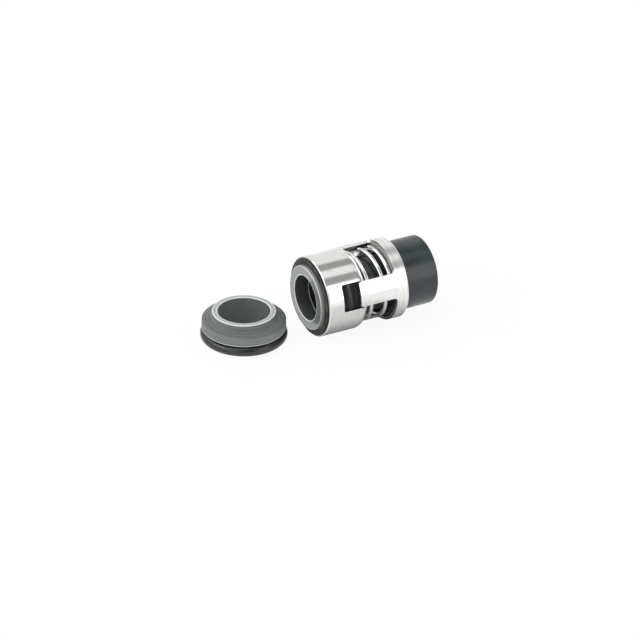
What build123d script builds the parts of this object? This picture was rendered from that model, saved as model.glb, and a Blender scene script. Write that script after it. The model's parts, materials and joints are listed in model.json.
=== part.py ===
# Component mechanical seal for a 12 mm shaft: a spring-loaded rotating head lying
# on its side, and the stationary seat standing flat on its back beside it.
# Millimetres, +Z up. The floor is Z = 0 and the head's axis runs along X, its
# lapped face towards -X and its tail towards +X. Profiles of the head are drawn in
# (distance behind the lapped face, radius) and those of the seat in (radius, Z).

import os
from math import ceil, cos, radians, sin, tau

from build123d import *

os.makedirs("parts", exist_ok=True)

# Shaft and housing that the seal is made for
shaft_diameter = 12.0
housing_bore = 23.0

# Retainer shell and drive band: two cups of the same stainless sheet
head_radius = 11.15
sheet = 0.75
shell_start = 1.5
shell_length = 11.3
shell_curl_radius = 2.4
shell_curl_angle = 32.0
slot_end = 6.0
slot_corner = 0.6
tang_count = 3
tang_first_angle = 43.4
tang_width = 6.9
tang_play = 0.36
tang_corner = 0.55
travel = 4.8
travel_spare = 0.43
band_start = 22.4
band_width = 3.45
band_edge_radius = 0.2
window_corner = 1.0

# Rotating face ring
face_bore_play = 0.3
face_nose_width = 2.62
face_edge_chamfer = 0.12
face_nose_height = 0.95
face_nose_draft = 0.06
face_flank_rise = 0.08
face_flank_depth = 1.22
face_length = 4.8
face_back_chamfer = 0.35

# Rubber head: a cup that carries the face ring, with a lip before the shell's edge
cup_play = 0.03
cup_wall = 0.74
lip_inset = 0.42
flank_inset = 0.13
lip_gap = 0.02
web = 0.7
groove_place = 6.3
groove_depth = 0.55
crown_place = 8.5
crown_play = 0.2
crown_radius = 2.4
crown_spread = 36.87
spring_seat_recess = 0.64
spring_seat_margin = 0.125

# Rubber tail: tube inside the spring, collar held in the band, neck on the shaft
tube_room = 1.025
tube_wall = 1.35
tube_play = 0.15
tube_overlap = 0.58
collar_play = 0.05
collar_edge = 0.3
collar_step = 0.86
neck_length = 10.2
neck_end_radius = 0.6
bore_chamfer = 0.4

# Compression spring
wire_diameter = 1.25
coil_play = 0.525
spring_turns = 3.264
front_turns = 1.03
front_pitch = 1.41
back_turns = 0.81
back_pitch = 2.12
ramp_turns = 0.2
spring_start_angle = -290.0
spring_end_play = 0.015
points_per_turn = 20

# Stationary seat
seat_height = 8.42
seat_bore_radius = 7.16
seat_nose_width = 1.51
seat_edge_chamfer = 0.15
seat_step_width = 0.68
seat_step_depth = 1.45
seat_flange_depth = 2.4
seat_flange_play = 0.05
seat_flange_edge = 0.18
seat_boss_chamfer = 0.5

# Seat O-ring
o_ring_section = 2.85
o_ring_squeeze = 0.37
o_ring_play = 0.02
o_ring_floor_gap = 0.215
o_ring_flange_gap = 0.315

# Place of the seat's axis, from the head's lapped face and axis
seat_ahead = 15.65
seat_aside = 5.89

# Sizes that follow from those above
shaft_radius = shaft_diameter / 2
inner_radius = head_radius - sheet
slot_width = tang_width + 2 * tang_play
tang_tip = slot_end + travel + travel_spare
shell_end = shell_start + shell_length
band_end = band_start + band_width
shoulder_front = band_end - sheet
face_bore_radius = shaft_radius + face_bore_play
face_nose_radius = face_bore_radius + face_nose_width
cup_radius = inner_radius - cup_play
cup_inner_radius = cup_radius - cup_wall
face_body_radius = cup_inner_radius - cup_play
lip_radius = head_radius - lip_inset
face_flank_radius = lip_radius - flank_inset
coil_radius = inner_radius - coil_play - wire_diameter / 2
tube_radius = coil_radius - wire_diameter / 2 - tube_room
spring_seat = shell_end - spring_seat_recess
collar_front = band_start
collar_back = shoulder_front - collar_play
neck_radius = inner_radius - collar_step
head_length = band_end + neck_length
seat_nose_radius = seat_bore_radius + seat_nose_width
seat_step_radius = seat_nose_radius + seat_step_width
seat_boss_radius = housing_bore / 2 + o_ring_squeeze - o_ring_section - o_ring_play
seat_flange_radius = housing_bore / 2 - seat_flange_play
seat_flange_top = seat_height - seat_flange_depth
seat_flange_bottom = o_ring_floor_gap + o_ring_section + o_ring_flange_gap
o_ring_radius = seat_boss_radius + o_ring_play + o_ring_section / 2
o_ring_height = o_ring_floor_gap + o_ring_section / 2
tang_angles = [tang_first_angle + 360 / tang_count * i for i in range(tang_count)]

# The origin lies on the floor below the middle of the pair
pair_left = -seat_ahead - o_ring_radius - o_ring_section / 2
pair_near = -head_radius
pair_far = max(head_radius, seat_aside + o_ring_radius + o_ring_section / 2)
face_x = -(pair_left + head_length) / 2
axis_y = -(pair_near + pair_far) / 2
seat_x = face_x - seat_ahead
seat_y = axis_y + seat_aside

face_centre = (face_x, axis_y, head_radius)
head_axis = Axis(face_centre, (1, 0, 0))
head_plane = Plane(origin=face_centre, x_dir=(1, 0, 0), z_dir=(0, -1, 0))
seat_axis = Axis((seat_x, seat_y, 0), (0, 0, 1))
seat_plane = Plane(origin=(seat_x, seat_y, 0), x_dir=(1, 0, 0), z_dir=(0, -1, 0))


def outward_plane(angle):
    """Plane on the head's axis that looks outwards at an angle from +Y towards +Z."""
    outward = (0, cos(radians(angle)), sin(radians(angle)))
    return Plane(origin=face_centre, x_dir=(1, 0, 0), z_dir=outward)


# Retainer shell: rolled front edge, rear edge curled in, one slot for each tang
curl_start = shell_end - shell_curl_radius * sin(radians(shell_curl_angle))
curl_inner_radius = shell_curl_radius - sheet
curl_centre = (curl_start, head_radius - shell_curl_radius)

with BuildPart() as retainer_shell:
    with BuildSketch(head_plane):
        with BuildLine():
            front_edge = ThreePointArc(
                (shell_start + sheet / 2, inner_radius),
                (shell_start, head_radius - sheet / 2),
                (shell_start + sheet / 2, head_radius),
            )
            outer_wall = Line(front_edge @ 1, (curl_start, head_radius))
            outer_curl = CenterArc(curl_centre, shell_curl_radius, 90, -shell_curl_angle)
            inner_curl = CenterArc(curl_centre, curl_inner_radius, 90, -shell_curl_angle)
            Line(outer_curl @ 1, inner_curl @ 1)
            Line(inner_curl @ 0, front_edge @ 0)
        make_face()
    revolve(axis=head_axis)
    for angle in tang_angles:
        with BuildSketch(outward_plane(angle)) as slot:
            with Locations((slot_end, 0)):
                Rectangle(shell_end, slot_width, align=(Align.MIN, Align.CENTER))
            fillet(slot.vertices().group_by(Axis.X)[0], slot_corner)
        extrude(amount=head_radius + sheet, mode=Mode.SUBTRACT)

retainer_shell.part.label = "retainer_shell"
export_step(retainer_shell.part, "parts/retainer_shell.step")


# Drive band: tangs cut from the same tube as the ring, shoulder turned in behind
# the bellows' collar. The tangs reach into the shell's slots, flush with the shell.
shoulder_bore_radius = neck_radius + collar_play

with BuildPart() as drive_band:
    for angle in tang_angles:
        with BuildSketch(outward_plane(angle)) as tang:
            with Locations((tang_tip, 0)):
                Rectangle(
                    band_start - tang_tip + sheet,
                    tang_width,
                    align=(Align.MIN, Align.CENTER),
                )
            fillet(tang.vertices().group_by(Axis.X)[0], tang_corner)
        extrude(amount=head_radius + sheet)
    with BuildSketch(head_plane):
        with Locations((tang_tip, inner_radius)):
            Rectangle(band_end - tang_tip, sheet, align=(Align.MIN, Align.MIN))
    revolve(axis=head_axis, mode=Mode.INTERSECT)
    with BuildSketch(head_plane):
        with BuildLine():
            FilletPolyline(
                (shoulder_front, inner_radius),
                (shoulder_front, shoulder_bore_radius),
                (band_end, shoulder_bore_radius),
                (band_end, head_radius),
                (band_start, head_radius),
                radius=[0, 0, band_edge_radius],
            )
            Polyline(
                (band_start, head_radius),
                (band_start, inner_radius),
                (shoulder_front, inner_radius),
            )
        make_face()
    revolve(axis=head_axis)
    inner_corners = [
        edge
        for edge in drive_band.edges().filter_by(GeomType.LINE)
        if abs(edge.center().X - face_x - band_start) < 0.01 and edge.length < 2 * sheet
    ]
    fillet(inner_corners, window_corner)

drive_band.part.label = "drive_band"
export_step(drive_band.part, "parts/drive_band.step")


# Rotating face ring: narrow lapped nose, wider shoulder with a bevelled rim, plain
# body in the rubber cup
face_flank_front = face_nose_height + face_flank_rise

with BuildPart() as face_ring:
    with BuildSketch(head_plane):
        with BuildLine():
            Polyline(
                (face_edge_chamfer, face_bore_radius),
                (0, face_bore_radius + face_edge_chamfer),
                (0, face_nose_radius - face_edge_chamfer),
                (face_edge_chamfer, face_nose_radius),
                (face_nose_height, face_nose_radius + face_nose_draft),
                (face_flank_front, face_flank_radius + face_flank_front - face_flank_depth),
                (face_flank_depth, face_flank_radius),
                (face_flank_depth, face_body_radius),
                (face_length, face_body_radius),
                (face_length, face_bore_radius + face_back_chamfer),
                (face_length - face_back_chamfer, face_bore_radius),
                close=True,
            )
        make_face()
    revolve(axis=head_axis)

face_ring.part.label = "face_ring"
export_step(face_ring.part, "parts/face_ring.step")


# Head of the bellows: cup for the face ring with a lip over the shell's front edge,
# a rounded fold that shows in the slots, and a seat for the spring
lip_front = face_flank_depth + lip_gap
lip_back = shell_start - lip_gap
web_front = face_length + lip_gap
web_back = web_front + web
skirt_bore_radius = tube_radius + tube_play
crown_top = inner_radius - crown_play
crown_rise = crown_radius * (1 - cos(radians(crown_spread)))
crown_half = crown_radius * sin(radians(crown_spread))
spring_seat_radius = coil_radius + wire_diameter / 2 + spring_seat_margin

with BuildPart() as bellows_head:
    with BuildSketch(head_plane):
        with BuildLine():
            Polyline(
                (crown_place - crown_half, crown_top - crown_rise),
                (groove_place, cup_radius - groove_depth),
                (groove_place - groove_depth, cup_radius),
                (lip_back + sheet, cup_radius),
                (lip_back, cup_radius),
                (lip_back, lip_radius),
                (lip_front, lip_radius),
                (lip_front, cup_inner_radius),
                (web_front, cup_inner_radius),
                (web_front, face_bore_radius),
                (web_back, face_bore_radius),
                (web_back, skirt_bore_radius),
                (spring_seat, skirt_bore_radius),
                (spring_seat, spring_seat_radius),
                (crown_place + crown_half, crown_top - crown_rise),
            )
            ThreePointArc(
                (crown_place + crown_half, crown_top - crown_rise),
                (crown_place, crown_top),
                (crown_place - crown_half, crown_top - crown_rise),
            )
        make_face()
    revolve(axis=head_axis)

bellows_head.part.label = "bellows_head"
export_step(bellows_head.part, "parts/bellows_head.step")


# Tail of the bellows: thin tube inside the spring, collar clamped in the band's
# ring, and the long neck that grips the shaft
tube_front = spring_seat - tube_overlap
tube_bore_radius = tube_radius - tube_wall
collar_radius = inner_radius - collar_play
grip_start = collar_front + (tube_bore_radius - shaft_radius)

with BuildPart() as bellows_tail:
    with BuildSketch(head_plane):
        with BuildLine():
            Polyline(
                (tube_front, tube_bore_radius),
                (tube_front, tube_radius),
                (collar_front, tube_radius),
                (collar_front, collar_radius - collar_edge),
                (collar_front + collar_edge, collar_radius),
                (collar_back, collar_radius),
                (collar_back, neck_radius),
                (head_length - neck_end_radius, neck_radius),
            )
            TangentArc(
                (head_length - neck_end_radius, neck_radius),
                (head_length, neck_radius - neck_end_radius),
                tangent=(1, 0),
            )
            Polyline(
                (head_length, neck_radius - neck_end_radius),
                (head_length, shaft_radius + bore_chamfer),
                (head_length - bore_chamfer, shaft_radius),
                (grip_start, shaft_radius),
                (collar_front, tube_bore_radius),
                (tube_front, tube_bore_radius),
            )
        make_face()
    revolve(axis=head_axis)

bellows_tail.part.label = "bellows_tail"
export_step(bellows_tail.part, "parts/bellows_tail.step")


# Compression spring: closely wound at both ends, the pitch easing up to the open
# turns between them. The open pitch is what the length between the seats leaves.
rise = collar_front - spring_seat - wire_diameter - 2 * spring_end_play
front_rise = front_pitch * (front_turns + ramp_turns / 2)
back_rise = back_pitch * (back_turns + ramp_turns / 2)
open_turns = spring_turns - front_turns - back_turns - ramp_turns
open_pitch = (rise - front_rise - back_rise) / open_turns
back_start = spring_turns - back_turns
steepening = (open_pitch - front_pitch) / ramp_turns
easing = (open_pitch - back_pitch) / ramp_turns


def climb(turns):
    """Height climbed after a number of turns from the spring's first end."""
    height = front_pitch * turns
    for start, change in (
        (front_turns, steepening),
        (front_turns + ramp_turns, -steepening),
        (back_start - ramp_turns, -easing),
        (back_start, easing),
    ):
        height += change * max(turns - start, 0) ** 2 / 2
    return height


def coil_point(turns):
    """Point of the wire's centre line after a number of turns."""
    angle = radians(spring_start_angle) + tau * turns
    along = spring_seat + spring_end_play + wire_diameter / 2 + climb(turns)
    return (
        face_x + along,
        axis_y + coil_radius * cos(angle),
        head_radius + coil_radius * sin(angle),
    )


coil_steps = ceil(spring_turns * points_per_turn)
coil_points = [coil_point(spring_turns * i / coil_steps) for i in range(coil_steps + 1)]

with BuildPart() as coil_spring:
    with BuildLine():
        coil_path = Spline(coil_points)
    with BuildSketch(Plane(origin=coil_path @ 0, z_dir=coil_path % 0)):
        Circle(wire_diameter / 2)
    sweep(path=coil_path, is_frenet=True)

coil_spring.part.label = "coil_spring"
export_step(coil_spring.part, "parts/coil_spring.step")


# Stationary seat: lapped nose, stepped flank, flange and the boss that centres it
with BuildPart() as seat_ring:
    with BuildSketch(seat_plane):
        with BuildLine():
            Polyline(
                (seat_bore_radius + seat_edge_chamfer, seat_height),
                (seat_nose_radius - seat_edge_chamfer, seat_height),
                (seat_nose_radius, seat_height - seat_edge_chamfer),
                (seat_step_radius, seat_height - seat_step_depth),
                (seat_flange_radius - seat_flange_edge, seat_flange_top),
                (seat_flange_radius, seat_flange_top - seat_flange_edge),
                (seat_flange_radius, seat_flange_bottom + seat_flange_edge),
                (seat_flange_radius - seat_flange_edge, seat_flange_bottom),
                (seat_boss_radius, seat_flange_bottom),
                (seat_boss_radius, seat_boss_chamfer),
                (seat_boss_radius - seat_boss_chamfer, 0),
                (seat_bore_radius + seat_edge_chamfer, 0),
                (seat_bore_radius, seat_edge_chamfer),
                (seat_bore_radius, seat_height - seat_edge_chamfer),
                close=True,
            )
        make_face()
    revolve(axis=seat_axis)

seat_ring.part.label = "seat_ring"
export_step(seat_ring.part, "parts/seat_ring.step")


# O-ring round the seat's boss, proud of the flange so that the housing squeezes it
with BuildPart() as seat_o_ring:
    with BuildSketch(seat_plane):
        with Locations((o_ring_radius, o_ring_height)):
            Circle(o_ring_section / 2)
    revolve(axis=seat_axis)

seat_o_ring.part.label = "seat_o_ring"
export_step(seat_o_ring.part, "parts/seat_o_ring.step")

print("origin to lapped face", face_x, "axis", axis_y, "seat", seat_x, seat_y)
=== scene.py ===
import json
from math import ceil, cos, pi, radians, sin, tau

import bmesh
import bpy
from mathutils import Matrix, Vector

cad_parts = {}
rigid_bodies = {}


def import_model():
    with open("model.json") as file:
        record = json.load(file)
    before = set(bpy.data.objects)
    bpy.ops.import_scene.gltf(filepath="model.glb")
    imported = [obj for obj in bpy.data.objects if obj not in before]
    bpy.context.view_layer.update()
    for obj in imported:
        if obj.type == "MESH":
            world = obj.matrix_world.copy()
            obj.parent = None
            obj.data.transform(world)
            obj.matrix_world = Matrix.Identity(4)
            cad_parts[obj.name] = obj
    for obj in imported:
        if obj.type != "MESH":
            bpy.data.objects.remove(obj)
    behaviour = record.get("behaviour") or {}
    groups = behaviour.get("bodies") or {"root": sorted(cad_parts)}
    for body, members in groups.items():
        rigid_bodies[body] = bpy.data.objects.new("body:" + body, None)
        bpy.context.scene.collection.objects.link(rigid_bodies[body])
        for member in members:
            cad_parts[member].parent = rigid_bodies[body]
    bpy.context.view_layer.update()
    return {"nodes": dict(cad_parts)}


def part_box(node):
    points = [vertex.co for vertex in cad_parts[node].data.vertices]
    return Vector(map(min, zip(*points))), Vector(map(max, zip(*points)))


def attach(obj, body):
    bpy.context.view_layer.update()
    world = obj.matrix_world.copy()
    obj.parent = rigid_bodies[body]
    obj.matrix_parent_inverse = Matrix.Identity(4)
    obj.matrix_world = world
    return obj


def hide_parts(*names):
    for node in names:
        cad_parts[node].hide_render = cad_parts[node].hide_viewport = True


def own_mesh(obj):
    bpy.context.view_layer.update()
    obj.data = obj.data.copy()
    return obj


mm = 0.001

for thing in list(bpy.data.objects):  # start from an empty scene
    bpy.data.objects.remove(thing)

print("frame")
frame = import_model()
nodes = frame["nodes"]


def linear(code):  # hex sRGB to linear RGBA
    parts = [int(code[i : i + 2], 16) / 255 for i in (0, 2, 4)]
    parts = [c / 12.92 if c <= 0.04045 else ((c + 0.055) / 1.055) ** 2.4 for c in parts]
    return (*parts, 1.0)


# inputs go by place or by name: numbers, vectors, hex colours, sockets, or nodes for their first output
def addNode(tree, kind, inputs=(), **settings):
    node = tree.nodes.new("ShaderNode" + kind)
    for name, value in settings.items():
        setattr(node, name, value)
    for name, value in inputs.items() if isinstance(inputs, dict) else enumerate(inputs):
        if isinstance(value, bpy.types.Node):
            value = value.outputs[0]
        if isinstance(value, bpy.types.NodeSocket):
            tree.links.new(value, node.inputs[name])
        elif value is not None:
            node.inputs[name].default_value = linear(value) if isinstance(value, str) else value
    return node


def newMaterial(name):
    material = bpy.data.materials.new(name)
    material.use_nodes = True
    material.node_tree.nodes.clear()
    return material, material.node_tree


def newObject(name, data):
    thing = bpy.data.objects.new(name, data)
    bpy.context.scene.collection.objects.link(thing)
    return thing


def middle(node):  # centre of a node's box, mm
    low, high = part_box(node)
    return (low + high) / 2 / mm


# where the two pieces stand, mm: the head's lapped face and axis, the seat's axis and height
head = {
    "faceX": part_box("face_ring")[0].x / mm,
    "axisY": middle("bellows_tail").y,
    "axisZ": middle("bellows_tail").z,
}
seat = {
    "x": middle("seat_ring").x,
    "y": middle("seat_ring").y,
    "height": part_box("seat_ring")[1].z / mm,
}


# mm: distance along an axis, radius and point, then the unit vector outwards and its upward part
def spaceAbout(tree, centre, axis):
    place = addNode(tree, "TexCoord").outputs["Object"]
    shift = tuple(-c for c in centre)
    point = addNode(tree, "VectorMath", (place, (1 / mm,) * 3, shift), operation="MULTIPLY_ADD")
    along = addNode(tree, "SeparateXYZ", (point,)).outputs["XYZ".index(axis)]
    across = tuple(float(name != axis) for name in "XYZ")
    flat = addNode(tree, "VectorMath", (point, across), operation="MULTIPLY")
    radius = addNode(tree, "VectorMath", (flat,), operation="LENGTH").outputs["Value"]
    outward = addNode(tree, "VectorMath", (flat,), operation="NORMALIZE")
    up = addNode(tree, "SeparateXYZ", (outward,)).outputs["Z"]
    return {"along": along, "radius": radius, "point": point, "outward": outward, "up": up}


def headSpace(tree):
    return spaceAbout(tree, (head["faceX"], head["axisY"], head["axisZ"]), "X")


def seatSpace(tree):
    return spaceAbout(tree, (seat["x"], seat["y"], 0), "Z")


def fadeIn(tree, value, start, end):  # 0 before start, 1 after end
    return addNode(tree, "MapRange", (value, start, end), interpolation_type="SMOOTHSTEP")


def fadeOut(tree, value, start, end):  # 1 before start, 0 after end
    return addNode(tree, "MapRange", (value, start, end, 1.0, 0.0), interpolation_type="SMOOTHSTEP")


def overlap(tree, *masks):  # where all of the masks are
    shared = masks[0]
    for mask in masks[1:]:
        shared = addNode(tree, "Math", (shared, mask), operation="MULTIPLY")
    return shared


def between(tree, value, start, end, soft):  # 1 from start to end, fading outside over the soft distance
    return overlap(tree, fadeIn(tree, value, start - soft, start), fadeOut(tree, value, end, end + soft))


def shifted(tree, level, *changes):  # a level plus each mask times its weight
    for mask, weight in changes:
        level = addNode(tree, "Math", (mask, weight, level), operation="MULTIPLY_ADD")
    return level


def painted(tree, color, *zones):  # a colour with each zone's own colour laid over it in turn
    for mask, paint in zones:
        color = addNode(tree, "MixRGB", (mask, color, paint))
    return color


def turnedLines(tree, space, pitch, wander):  # fine lines round the axis, a pitch apart, that drift a little
    grid = addNode(tree, "CombineXYZ", (space["along"], space["radius"]))
    drift = addNode(tree, "VectorMath", (space["outward"], (wander,) * 3), operation="MULTIPLY")
    lines = addNode(tree, "VectorMath", (grid, (1 / pitch,) * 3, drift), operation="MULTIPLY_ADD")
    return addNode(tree, "TexNoise", {"Vector": lines, "Scale": 1.0, "Detail": 3.0, "Roughness": 0.6})


def grains(tree, space, size, detail=4.0):  # blotches of a size in mm
    return addNode(tree, "TexNoise", {"Vector": space["point"], "Scale": 1 / size, "Detail": detail})


print("camera")
cameraLook = {
    "azimuth": -28.754,
    "elevation": 29.237,
    "roll": 0.674,
    "distance": 1273.1,
    "lens": 264.06,
    "behindFace": 4.411,  # where it aims, from the lapped face and the head's axis
    "besideAxis": -0.298,
    "height": 3.325,
    "sensor": 36,
    "clip": (0.05, 20),
}


def makeCamera(look):
    turn, tilt, roll = radians(look["azimuth"]), radians(look["elevation"]), radians(look["roll"])
    back = Vector((sin(turn) * cos(tilt), -cos(turn) * cos(tilt), sin(tilt)))
    right = Vector((cos(turn), sin(turn), 0))
    up = back.cross(right)
    turnedRight = right * cos(roll) + up * sin(roll)
    turnedUp = up * cos(roll) - right * sin(roll)
    data = bpy.data.cameras.new("camera")
    data.lens = look["lens"]
    data.sensor_width = look["sensor"]
    data.clip_start, data.clip_end = look["clip"]
    camera = newObject("camera", data)
    place = Matrix((turnedRight, turnedUp, back)).transposed().to_4x4()
    aimX, aimY = head["faceX"] + look["behindFace"], head["axisY"] + look["besideAxis"]
    place.translation = (Vector((aimX, aimY, look["height"])) + back * look["distance"]) * mm
    camera.matrix_world = place
    bpy.context.scene.camera = camera


makeCamera(cameraLook)

print("floor and light")
room = {
    "floorColor": "f4f4f3",  # sizes below in mm, but for the floor's own
    "floorSize": 12.0,  # metres
    "floorShown": 0.93,  # how much of the floor the camera sees as plain white
    # metal and gloss see the floor darker beside the head, less so with the square root of the distance
    "shade": 1.3,
    "shadeNearest": 4.0,
    "shadeAlong": (4.0, 27.0),  # behind the lapped face
    "shadeSoft": 7.0,
    "contactShade": 0.22,  # and darker again right under the head, up to where it fades
    "contactFade": (6.0, 16.0),
    "seatShade": 0.8,  # and under the seat
    "seatFade": (6.5, 14.0),
    "skyLevel": 0.34,
    "skyShown": 1.0,
}
# softboxes stand round the head: the bearing is counted from the right (0) over the far
# side (90) and the left (180) to the camera's side (270), the height is an angle too
softboxes = {
    "back": {"bearing": 90, "height": 31.5, "away": 1100, "size": (1300, 1260), "ahead": 400, "level": 0.535},
    "top": {"bearing": 270, "height": 83, "away": 1000, "size": (1300, 410), "ahead": 400, "level": 0.6},
    "front": {"bearing": 270, "height": 24, "away": 1000, "size": (520, 855), "ahead": 470, "level": 1.9},
    "right": {"bearing": 15, "height": 20, "away": 1000, "size": (900, 600), "ahead": 0, "level": 1.4},
    "left": {"bearing": 195, "height": 30, "away": 1000, "size": (900, 700), "ahead": 0, "level": 1.6},
    "leftBack": {"bearing": 150, "height": 38, "away": 1000, "size": (1000, 760), "ahead": 0, "level": 1.5},
    "aboveSeat": {"bearing": 180, "height": 76, "away": 1000, "size": (800, 420), "ahead": 0, "level": 2.0},
}


def floorGlow(tree):  # how bright metal and gloss see the floor, 1 in the open
    place = addNode(tree, "TexCoord").outputs["Object"]
    sides = addNode(tree, "SeparateXYZ", (place,)).outputs
    behindFace = addNode(tree, "Math", (sides["X"], 1 / mm, -head["faceX"]), operation="MULTIPLY_ADD")
    aside = addNode(tree, "Math", (sides["Y"], 1 / mm, -head["axisY"]), operation="MULTIPLY_ADD")
    aside = addNode(tree, "Math", (aside,), operation="ABSOLUTE")
    aside = addNode(tree, "Math", (aside, room["shadeNearest"]), operation="MAXIMUM")
    shade = overlap(tree, addNode(tree, "Math", (aside, -0.5), operation="POWER"), room["shade"])
    shade = shifted(tree, shade, (fadeOut(tree, aside, *room["contactFade"]), room["contactShade"]))
    shade = overlap(tree, shade, between(tree, behindFace, *room["shadeAlong"], room["shadeSoft"]))
    seatPlace = (seat["x"] * mm, seat["y"] * mm, 0)
    fromSeat = addNode(tree, "VectorMath", (place, seatPlace), operation="DISTANCE").outputs["Value"]
    underSeat = fadeOut(tree, fromSeat, room["seatFade"][0] * mm, room["seatFade"][1] * mm)
    shade = shifted(tree, shade, (underSeat, room["seatShade"]))
    shade = addNode(tree, "Math", (shade, 1.0), operation="MINIMUM")
    return addNode(tree, "Math", (1.0, shade), operation="SUBTRACT")


def whiteTable(name):  # matt white: plain white to the eye, with the object's soft shadow
    material, tree = newMaterial(name)
    path = addNode(tree, "LightPath").outputs
    table = addNode(tree, "BsdfDiffuse", {"Color": room["floorColor"]})
    glow = addNode(tree, "Math", (path["Is Camera Ray"], floorGlow(tree)), operation="MAXIMUM")
    white = addNode(tree, "Emission", {"Color": "ffffff", "Strength": glow})
    gloss, glass = path["Is Glossy Ray"], path["Is Transmission Ray"]
    mirrored = addNode(tree, "Math", (gloss, glass), operation="MAXIMUM")
    seen = shifted(tree, mirrored, (path["Is Camera Ray"], room["floorShown"]))
    addNode(tree, "OutputMaterial", {"Surface": addNode(tree, "MixShader", (seen, table, white))})
    return material


def makeFloor():
    half = room["floorSize"] / 2
    corners = [(-half, -half, 0), (half, -half, 0), (half, half, 0), (-half, half, 0)]
    mesh = bpy.data.meshes.new("floor")
    mesh.from_pydata(corners, [], [(0, 1, 2, 3)])
    mesh.materials.append(whiteTable("white table"))
    floor = newObject("floor", mesh)


def makeSky():
    world = bpy.data.worlds.new("studio")
    bpy.context.scene.world = world
    world.use_nodes = True
    tree = world.node_tree
    tree.nodes.clear()
    path = addNode(tree, "LightPath").outputs
    direct, glass = path["Is Camera Ray"], path["Is Transmission Ray"]
    seen = addNode(tree, "Math", (direct, glass), operation="MAXIMUM")
    plain = addNode(tree, "Background", {"Color": "ffffff", "Strength": room["skyLevel"]})
    shown = addNode(tree, "Background", {"Color": "ffffff", "Strength": room["skyShown"]})
    addNode(tree, "OutputWorld", {"Surface": addNode(tree, "MixShader", (seen, plain, shown))})


def makeSoftbox(name, box):
    bearing, height = radians(box["bearing"]), radians(box["height"])
    outward = Vector((cos(bearing) * cos(height), sin(bearing) * cos(height), sin(height)))
    sideways = Vector((-sin(bearing), cos(bearing), 0))
    data = bpy.data.lights.new(name + "Softbox", "AREA")
    data.shape = "RECTANGLE"
    data.size, data.size_y = box["size"][0] * mm, box["size"][1] * mm
    data.energy = box["level"] * data.size * data.size_y * pi  # a level of 1 mirrors as plain white
    lamp = newObject(name + "Softbox", data)
    lamp.matrix_world = Matrix((sideways, outward.cross(sideways), outward)).transposed().to_4x4()
    lamp.location = (outward * box["away"] + Vector((box["ahead"], head["axisY"], head["axisZ"]))) * mm
    lamp.visible_camera = False


makeFloor()
makeSky()
for name, box in softboxes.items():
    makeSoftbox(name, box)

print("materials")
# silicon carbide, mm: pores and patches darken it, less so where it is lapped; real pores are
# finer than the grain below, which is drawn coarse enough to show
carbideLook = {
    "pore": "2b2f2e",
    "poreFade": (0.35, 0.7),
    "poreDepth": 0.3,
    "patchSize": 1.7,
    "patchDepth": 0.25,
    "lappedDepth": -0.6,
    "roughness": 0.44,  # as ground, and what each finish adds to it
    "dull": 0.3,
    "lapped": -0.36,
    "lined": 0.2,
    "lappedLined": -0.14,
    "relief": 0.35,
    "reliefHeight": 0.02,
    "grainRelief": 0.3,
    "edge": 0.1,  # how far its edges are rounded
    "boreFade": (0.02, 0.1),
}
# the zones follow each ring's own edges, and the bright line along a broken edge is a painted highlight
faceLook = {
    "lapped": "727979",
    "edgeHighlight": "f0f3f2",
    "side": "868c8a",
    # the shoulder's dark grey is partly the sintered finish and partly painted shade
    "shoulder": "474541",
    "shoulderPale": "6f685e",
    "bore": "393f3e",
    "ior": 2.5,
    "grain": 0.14,
    "linePitch": 0.2,
    "lineWander": 0.5,
    "boreRadius": 6.3,
    "noseRadius": 8.92,
    "noseHeight": 0.95,
    "lappedFade": (0.01, 0.03),
    "shoulderSoft": (0.1, 0.15),
    "highlightWidth": 0.14,
    "highlightOver": 0.02,
    "highlightSoft": 0.04,
    "highlightFade": (0.13, 0.2),
    "highlightUpper": (-0.3, 0.6),  # painted light: the outer edge's highlight is painted brighter on its upper side
    "highlightLower": 0.25,
    "boreHighlightWidth": 0.26,
    "backHighlight": 4.2,
    "backHighlightWidth": 0.25,
    "stainSize": 3.2,
    "stainFade": (0.42, 0.66),
    "shoulderMirror": 0.9,  # nearly all of it mirrors only as brightly as its own dark colour
    "shoulderDull": 0.5,
    "boreDull": -0.4,
}
seatLook = {
    "lapped": "a3acab",
    "edgeHighlight": "f8fafa",
    "side": "6a7671",
    "sideDark": "54605c",
    "flank": "424c49",
    "flankPale": "64706d",
    "bore": "656f6c",
    "ior": 2.2,
    "grain": 0.14,
    "linePitch": 0.45,  # the real feed is finer, and is drawn this coarse so that it shows
    "lineWander": 0.6,
    "lineFade": (0.35, 0.65),
    "boreRadius": 7.16,
    "noseRadius": 8.67,
    "flankRadius": 11.2,
    "flangeTop": 6.02,
    "flangeBottom": 3.42,
    "lappedFade": (0.03, 0.01),  # below the lapped face
    "flankFade": (0.15, 0.05),
    "highlightWidth": 0.24,
    "highlightOver": 0.03,
    "highlightSoft": 0.05,
    "highlightFade": (0.22, 0.14),
    "rimWidth": 0.22,
    "rimSoft": 0.1,
    "rimHighlight": 0.8,
}


def boreMask(tree, space, look):
    start, end = carbideLook["boreFade"]
    return fadeOut(tree, space["radius"], look["boreRadius"] + start, look["boreRadius"] + end)


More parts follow.
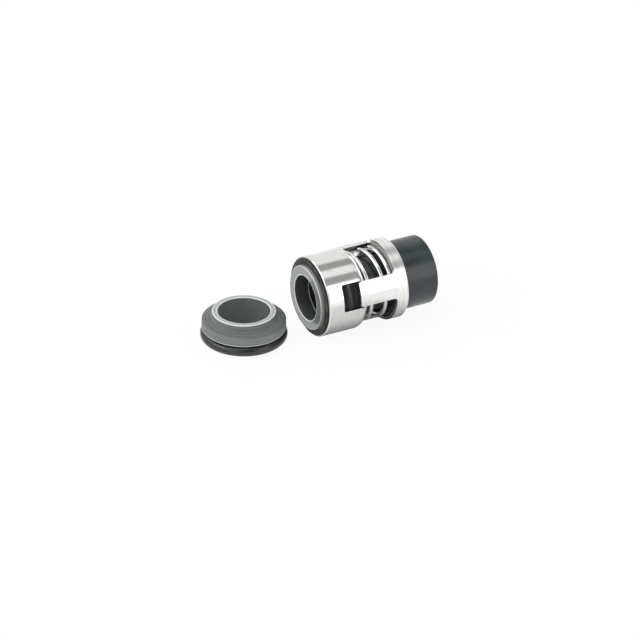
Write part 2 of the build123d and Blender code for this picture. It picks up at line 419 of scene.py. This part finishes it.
# ground matt, the lapped faces smooth, with fine lines round the rest
def carbideShader(tree, space, look, color, lapped, dull, lines, mirror=None):
    base = carbideLook
    grain = grains(tree, space, look["grain"], detail=5.0)
    patches = grains(tree, space, base["patchSize"])
    pores = fadeIn(tree, grain, *base["poreFade"])
    depth = shifted(tree, 0.0, (patches, base["patchDepth"]), (pores, base["poreDepth"]))
    depth = overlap(tree, depth, shifted(tree, 1.0, (lapped, base["lappedDepth"])))
    speckled = painted(tree, color, (depth, base["pore"]))
    lined = shifted(tree, base["lined"], (lapped, base["lappedLined"]))
    finishes = ((dull, base["dull"]), (lapped, base["lapped"]), (lines, lined))
    rough = shifted(tree, base["roughness"], *finishes)
    relief = overlap(tree, lines, shifted(tree, 1.0, (lapped, -1.0)))
    relief = shifted(tree, relief, (grain, base["grainRelief"]))
    rounded = addNode(tree, "Bevel", {"Radius": base["edge"] * mm}, samples=6)
    heights = {"Strength": base["relief"], "Distance": base["reliefHeight"] * mm, "Height": relief}
    bump = addNode(tree, "Bump", {**heights, "Normal": rounded})
    sockets = {"Base Color": speckled, "Metallic": mirror, "Roughness": rough, "Normal": bump}
    return addNode(tree, "BsdfPrincipled", {"IOR": look["ior"], **sockets})


def faceCarbide(name):  # sintered silicon carbide: mid grey, lapped on the nose, a stained dark shoulder whose dark is partly its finish and partly painted shade
    look = faceLook
    material, tree = newMaterial(name)
    space = headSpace(tree)
    along, radius = space["along"], space["radius"]
    bore, nose, shoulderX = look["boreRadius"], look["noseRadius"], look["noseHeight"]
    lines = turnedLines(tree, space, look["linePitch"], look["lineWander"])
    lapped = fadeOut(tree, along, *look["lappedFade"])
    inBore = boreMask(tree, space, look)
    behindNose = fadeIn(tree, along, shoulderX - look["shoulderSoft"][0], shoulderX)
    onShoulder = overlap(tree, behindNose, fadeIn(tree, radius, nose, nose + look["shoulderSoft"][1]))
    # painted highlights: bright lines along the bore's edge, the nose's edge and the back of the bore
    innerHighlight = between(tree, radius, bore, bore + look["boreHighlightWidth"], look["highlightSoft"])
    outerHighlight = between(tree, radius, nose - look["highlightWidth"], nose + look["highlightOver"], look["highlightSoft"])
    # painted light: the outer highlight fades to a quarter where the edge faces down
    upper = fadeIn(tree, space["up"], *look["highlightUpper"])
    brighter = shifted(tree, look["highlightLower"], (upper, 1 - look["highlightLower"]))
    outerHighlight = overlap(tree, outerHighlight, brighter)
    edgeHighlight = addNode(tree, "Math", (innerHighlight, outerHighlight), operation="MAXIMUM")
    edgeHighlight = overlap(tree, edgeHighlight, fadeOut(tree, along, *look["highlightFade"]))
    backEnd = look["backHighlight"] + look["backHighlightWidth"]
    backHighlight = between(tree, along, look["backHighlight"], backEnd, look["highlightSoft"])
    edgeHighlight = addNode(tree, "Math", (edgeHighlight, backHighlight), operation="MAXIMUM")
    stain = fadeIn(tree, grains(tree, space, look["stainSize"]), *look["stainFade"])
    shoulder = painted(tree, look["shoulder"], (stain, look["shoulderPale"]))
    zones = ((onShoulder, shoulder), (inBore, look["bore"]), (lapped, look["lapped"]), (edgeHighlight, look["edgeHighlight"]))
    color = painted(tree, look["side"], *zones)
    mirror = overlap(tree, onShoulder, look["shoulderMirror"])
    dull = shifted(tree, 0.0, (inBore, look["boreDull"]), (onShoulder, look["shoulderDull"]))
    shader = carbideShader(tree, space, look, color, lapped, dull, lines, mirror)
    addNode(tree, "OutputMaterial", {"Surface": shader})
    return material


def seatCarbide(name):  # the same carbide, paler where lapped, its flank and sides ringed with turned lines
    look = seatLook
    material, tree = newMaterial(name)
    space = seatSpace(tree)
    along, radius = space["along"], space["radius"]
    bore, nose, top = look["boreRadius"], look["noseRadius"], seat["height"]
    lines = turnedLines(tree, space, look["linePitch"], look["lineWander"])
    lapped = fadeIn(tree, along, top - look["lappedFade"][0], top - look["lappedFade"][1])
    inBore = boreMask(tree, space, look)
    flankStart, flankEnd = (look["flangeTop"] - under for under in look["flankFade"])
    outside = shifted(tree, 1.0, (inBore, -1.0))
    onFlank = overlap(tree, fadeIn(tree, along, flankStart, flankEnd), outside)
    # painted highlights: bright lines along the lapped face's inner and outer edges
    innerHighlight = between(tree, radius, bore, bore + look["highlightWidth"], look["highlightSoft"])
    outerHighlight = between(tree, radius, nose - look["highlightWidth"], nose + look["highlightOver"], look["highlightSoft"])
    faceHighlight = addNode(tree, "Math", (innerHighlight, outerHighlight), operation="MAXIMUM")
    nearFace = fadeIn(tree, along, top - look["highlightFade"][0], top - look["highlightFade"][1])
    faceHighlight = overlap(tree, faceHighlight, nearFace)
    # painted highlight: a bright line along the lower rim of the flange
    rimTop = look["flangeBottom"] + look["rimWidth"]
    onRim = between(tree, along, look["flangeBottom"], rimTop, look["rimSoft"])
    onFlange = fadeIn(tree, radius, look["flankRadius"] - look["rimSoft"], look["flankRadius"])
    rimHighlight = overlap(tree, onRim, onFlange, look["rimHighlight"])
    ringed = fadeIn(tree, lines, *look["lineFade"])
    side = painted(tree, look["side"], (ringed, look["sideDark"]))
    flank = painted(tree, look["flank"], (ringed, look["flankPale"]))
    zones = ((onFlank, flank), (inBore, look["bore"]), (lapped, look["lapped"]))
    edges = ((faceHighlight, look["edgeHighlight"]), (rimHighlight, look["edgeHighlight"]))
    color = painted(tree, side, *zones, *edges)
    shader = carbideShader(tree, space, look, color, lapped, onFlank, lines)
    addNode(tree, "OutputMaterial", {"Surface": shader})
    return material


steelLook = {
    "bright": "f0f0ee",
    "clouded": "e8e8e5",
    "turned": "9c9c99",
    "polished": "fbfbf9",
    "cut": "a8a8a3",
    "insideShade": "84847f",
    "cutEdgeShade": "5c5c59",
    "roughness": 0.1,  # of the bright sheet, and what each finish adds to it
    "cloudRough": 0.08,
    "lineRough": 0.1,
    "dullRough": 0.32,
    "ringRough": 0.1,
    "cloud": 2.2,
    "cloudFade": (0.35, 0.75),
    "scratch": 0.22,  # real marks of the drawing are finer, and are drawn this coarse so that they show
    "scratchWander": 0.8,
    "scratchDepth": 0.35,  # faint on the drawn sheet, full on the ring
    "feed": 0.42,
    "feedWander": 0.9,
    "feedFade": (0.42, 0.62),
    "ringPolish": 0.7,
    "ringStripes": 0.3,
    "relief": 0.2,
    "reliefHeight": 0.02,
    "edge": 0.13,  # how far the tumbled edges are rounded
    "endFade": (0.8, 0.95),  # how squarely a surface has to face each way to count
    "cutFade": (0.5, 0.75),
    "withinFade": (0.6, 0.8),
    "ringFade": (22.5, 22.9),  # behind the lapped face
    "inside": (10.48, 10.6),  # painted highlight on the cut edge's inner side, painted shade line by its outer side
    "outside": (10.95, 11.03),
    "outsideSoft": 0.05,
}


# drawn sheet: bright and faintly clouded, with fine stripes round the ring and matt cut edges
def drawnStainless(name):
    look = steelLook
    material, tree = newMaterial(name)
    space = headSpace(tree)
    clouds = grains(tree, space, look["cloud"])
    facing = addNode(tree, "TexCoord").outputs["Normal"]
    endways = addNode(tree, "SeparateXYZ", (facing,)).outputs["X"]
    endways = addNode(tree, "Math", (endways,), operation="ABSOLUTE")
    onEnd = fadeIn(tree, endways, *look["endFade"])
    radial = addNode(tree, "VectorMath", (facing, space["outward"]), operation="DOT_PRODUCT").outputs["Value"]
    onCut = fadeOut(tree, addNode(tree, "Math", (radial,), operation="ABSOLUTE"), *look["cutFade"])
    # painted shade: the faces turned towards the axis are painted darker, standing for the shade under the
    # sheet
    within = fadeIn(tree, shifted(tree, 0.0, (radial, -1.0)), *look["withinFade"])
    onRing = fadeIn(tree, space["along"], *look["ringFade"])
    feed = fadeIn(tree, turnedLines(tree, space, look["feed"], look["feedWander"]), *look["feedFade"])
    # on the cut ends: a painted shade line by the outer edge and a painted highlight by the inner edge
    cutOuterShade = between(tree, space["radius"], *look["outside"], look["outsideSoft"])
    cutInnerHighlight = fadeOut(tree, space["radius"], *look["inside"])
    endColor = painted(tree, look["cut"], (cutOuterShade, look["cutEdgeShade"]), (cutInnerHighlight, look["bright"]))
    color = painted(
        tree,
        look["bright"],
        (fadeIn(tree, clouds, *look["cloudFade"]), look["clouded"]),
        (overlap(tree, onRing, look["ringPolish"]), look["polished"]),
        (overlap(tree, onRing, feed, look["ringStripes"]), look["turned"]),
        (onCut, look["polished"]),
        (onEnd, endColor),
        (within, look["insideShade"]),
    )
    scratches = turnedLines(tree, space, look["scratch"], look["scratchWander"])
    depth = shifted(tree, look["scratchDepth"], (onRing, 1 - look["scratchDepth"]))
    lines = overlap(tree, scratches, depth)
    dull = addNode(tree, "Math", (onCut, within), operation="MAXIMUM")
    finishes = ((clouds, look["cloudRough"]), (lines, look["lineRough"]), (dull, look["dullRough"]))
    rough = shifted(tree, look["roughness"], *finishes, (onRing, look["ringRough"]))
    rounded = addNode(tree, "Bevel", {"Radius": look["edge"] * mm}, samples=6)
    heights = {"Strength": look["relief"], "Distance": look["reliefHeight"] * mm, "Height": lines}
    bump = addNode(tree, "Bump", {**heights, "Normal": rounded})
    sockets = {"Metallic": 1.0, "Base Color": color, "Roughness": rough, "Normal": bump}
    addNode(tree, "OutputMaterial", {"Surface": addNode(tree, "BsdfPrincipled", sockets)})
    return material


wireLook = {
    "bright": "f4f4f2",
    "grey": "dcdcd9",
    "markSize": 0.5,
    "roughness": 0.1,
    "marked": 0.1,
    "relief": 0.06,
    "reliefHeight": 0.02,
}


def springWire(name):  # drawn spring steel: bright, with faint marks of the die
    look = wireLook
    material, tree = newMaterial(name)
    marks = grains(tree, headSpace(tree), look["markSize"])
    color = painted(tree, look["bright"], (marks, look["grey"]))
    rough = shifted(tree, look["roughness"], (marks, look["marked"]))
    heights = {"Strength": look["relief"], "Distance": look["reliefHeight"] * mm, "Height": marks}
    bump = addNode(tree, "Bump", heights)
    sockets = {"Metallic": 1.0, "Base Color": color, "Roughness": rough, "Normal": bump}
    addNode(tree, "OutputMaterial", {"Surface": addNode(tree, "BsdfPrincipled", sockets)})
    return material


rubberLook = {  # what the three rubbers share, mm
    "bloomSize": 2.8,
    "bloomFade": (0.35, 0.7),
    "bloomRough": 0.12,
    "poreSize": 0.11,  # coarser than real ones, so that they show
    "relief": 0.2,
    "reliefHeight": 0.02,
    "crownWidth": 0.35,  # either side of the fold's crown
    "crownSoft": 0.45,
    "besideCrown": 0.45,
    "collarFront": (-0.05, 0.3),  # where the collar front gets its painted highlight: along the axis, by radius and upwards
    "collarSoft": 0.05,
    "collarRadius": (8.2, 8.7),
    "collarUpper": (0.0, 0.25),
}
# one bellows rubber in two copies: the tail's slate stands for it in the light, and the head's near black is
# painted shade for it inside the shell
shadedHeadRubberLook = {"color": "060607", "paler": "0c0c0d", "roughness": 0.24, "ior": 1.6, "crown": 8.55}
ringRubberLook = {"color": "17191a", "paler": "232627", "roughness": 0.24, "ior": 1.6}
litTailRubberLook = {
    "color": "263034",
    "paler": "303b3f",
    "roughness": 0.21,
    "ior": 1.5,
    "collar": 22.4,  # behind the lapped face
    "collarHighlight": "9a978f",
}


def mouldedRubber(name, space, look):  # nitrile rubber: satin from the mould, with a fine bloom
    base = rubberLook
    material, tree = newMaterial(name)
    place = space(tree)
    bloom = grains(tree, place, base["bloomSize"])
    pores = grains(tree, place, base["poreSize"], detail=2.0)
    color = painted(tree, look["color"], (fadeIn(tree, bloom, *base["bloomFade"]), look["paler"]))
    rough = shifted(tree, look["roughness"], (bloom, base["bloomRough"]))
    if "crown" in look:  # the fold shines along its crown and is dull beside it
        start, end = look["crown"] - base["crownWidth"], look["crown"] + base["crownWidth"]
        shining = between(tree, place["along"], start, end, base["crownSoft"])
        beside = shifted(tree, 1.0, (shining, -1.0))
        rough = shifted(tree, rough, (beside, base["besideCrown"]))
    if "collar" in look:  # painted highlight: its front is painted pale beside the spring's last coil, on the upper half only
        start, end = (look["collar"] + edge for edge in base["collarFront"])
        litCollarFront = overlap(
            tree,
            between(tree, place["along"], start, end, base["collarSoft"]),
            fadeIn(tree, place["radius"], *base["collarRadius"]),
            fadeIn(tree, place["up"], *base["collarUpper"]),
        )
        color = painted(tree, color, (litCollarFront, look["collarHighlight"]))
    heights = {"Strength": base["relief"], "Distance": base["reliefHeight"] * mm, "Height": pores}
    bump = addNode(tree, "Bump", heights)
    sockets = {"IOR": look["ior"], "Base Color": color, "Roughness": rough, "Normal": bump}
    addNode(tree, "OutputMaterial", {"Surface": addNode(tree, "BsdfPrincipled", sockets)})
    return material


surfaces = {
    "face_ring": faceCarbide("siliconCarbideFace"),
    "seat_ring": seatCarbide("siliconCarbideSeat"),
    "retainer_shell": drawnStainless("drawnStainlessShell"),
    "drive_band": drawnStainless("drawnStainlessBand"),
    "bellows_head": mouldedRubber("shadedNitrileHead", headSpace, shadedHeadRubberLook),
    "seat_o_ring": mouldedRubber("blackNitrileRing", seatSpace, ringRubberLook),
    "bellows_tail": mouldedRubber("litNitrileTail", headSpace, litTailRubberLook),
}
for node, material in surfaces.items():
    mesh = nodes[node].data
    mesh.materials.clear()
    mesh.materials.append(material)

print("spring")
spring = {
    "seat": 12.16,  # behind the lapped face, where the wire starts and stops
    "stop": 22.4,
    "wire": 1.25,
    "radius": 9.25,
    "turns": 3.264,
    "frontTurns": 1.03,
    "frontPitch": 1.41,
    "backTurns": 0.81,
    "backPitch": 2.12,
    "ramp": 0.2,
    "startAngle": -290.0,
    "endPlay": 0.015,
    "sides": 28,
    "pointsPerTurn": 72,
    "keep": 0.531,  # what is left of its length at the end of the travel
}


def springClimb(turns):  # height after a number of turns, the pitch easing up to the open turns
    front, back, ramp = spring["frontTurns"], spring["backTurns"], spring["ramp"]
    frontPitch, backPitch = spring["frontPitch"], spring["backPitch"]
    rise = spring["stop"] - spring["seat"] - spring["wire"] - 2 * spring["endPlay"]
    closedRise = frontPitch * (front + ramp / 2) + backPitch * (back + ramp / 2)
    openPitch = (rise - closedRise) / (spring["turns"] - front - back - ramp)
    steepening = (openPitch - frontPitch) / ramp
    easing = (openPitch - backPitch) / ramp
    backStart = spring["turns"] - back
    frontRamp = ((front, steepening), (front + ramp, -steepening))
    backRamp = ((backStart - ramp, -easing), (backStart, easing))
    height = frontPitch * turns
    for start, change in frontRamp + backRamp:
        height += change * max(turns - start, 0) ** 2 / 2
    return height


def springPoint(turns):
    angle = radians(spring["startAngle"]) + tau * turns
    start = head["faceX"] + spring["seat"] + spring["endPlay"] + spring["wire"] / 2
    aside, upward = spring["radius"] * cos(angle), spring["radius"] * sin(angle)
    return Vector((start + springClimb(turns), head["axisY"] + aside, head["axisZ"] + upward))


def makeSpring(material):
    steps = ceil(spring["turns"] * spring["pointsPerTurn"])
    points = [springPoint(spring["turns"] * i / steps) for i in range(steps + 1)]
    mesh = bpy.data.meshes.new("spring")
    build = bmesh.new()
    rings = []
    for i, point in enumerate(points):
        forward = (points[min(i + 1, steps)] - points[max(i - 1, 0)]).normalized()
        outward = point - Vector((point.x, head["axisY"], head["axisZ"]))
        outward = (outward - forward * outward.dot(forward)).normalized()
        side = forward.cross(outward)
        ring = []
        for corner in range(spring["sides"]):
            turn = tau * corner / spring["sides"]
            offset = (outward * cos(turn) + side * sin(turn)) * spring["wire"] / 2
            ring.append(build.verts.new((point + offset) * mm))
        rings.append(ring)
    for ring, further in zip(rings, rings[1:]):
        for corner in range(spring["sides"]):
            after = (corner + 1) % spring["sides"]
            build.faces.new((ring[corner], ring[after], further[after], further[corner])).smooth = True
    build.faces.new(list(reversed(rings[0])))
    build.faces.new(rings[-1])
    bmesh.ops.recalc_face_normals(build, faces=build.faces)
    build.to_mesh(mesh)
    build.free()
    mesh.materials.append(material)
    wire = newObject("spring", mesh)
    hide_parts("coil_spring")
    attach(wire, "tail_side")
    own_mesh(wire)


makeSpring(springWire("springSteel"))

scene = bpy.context.scene
scene.view_settings.view_transform = "Standard"
print("done")
